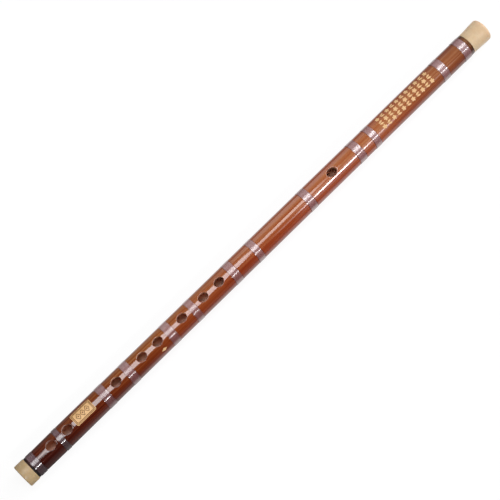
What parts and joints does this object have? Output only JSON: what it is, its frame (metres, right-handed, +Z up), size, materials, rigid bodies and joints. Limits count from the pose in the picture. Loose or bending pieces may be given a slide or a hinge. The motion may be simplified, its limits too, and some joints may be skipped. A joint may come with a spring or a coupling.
{
  "type": "dizi transverse flute",
  "caption": "Straight stained bamboo transverse flute with a blow hole, finger holes and vents in line, glossy thread bindings, pale end caps and a sliding cork stopper in its bore.",
  "frame": {"origin": "under the middle of the flute, on the surface that its two end caps lie on", "axes": "+X along the tube from tail to head, +Z up out of the playing holes, -Y towards the player's fingers' side"},
  "size_m": [0.56, 0.0216, 0.0217],
  "materials": {
    "bamboo": "stained red-brown and varnished",
    "lacquered_thread": "fine thread under glossy lacquer",
    "head_cap_bone": "polished cream",
    "tail_cap_bone": "polished dark cream",
    "cork": "matt"
  },
  "bodies": {
    "flute": {"bamboo_body": "bamboo", "binding_01": "lacquered_thread", "binding_02": "lacquered_thread", "binding_03": "lacquered_thread", "binding_04": "lacquered_thread", "binding_05": "lacquered_thread", "binding_06": "lacquered_thread", "binding_07": "lacquered_thread", "binding_08": "lacquered_thread", "binding_09": "lacquered_thread", "binding_10": "lacquered_thread", "binding_11": "lacquered_thread", "binding_12": "lacquered_thread", "binding_13": "lacquered_thread", "head_cap": "head_cap_bone", "tail_cap": "tail_cap_bone"},
    "stopper": {"cork_stopper": "cork"}
  },
  "joints": [
    {"name": "stopper_slide", "type": "slide", "parent": "flute", "child": "stopper", "axis": [1, 0, 0], "range_m": [-0.001, 0.008]}
  ]
}
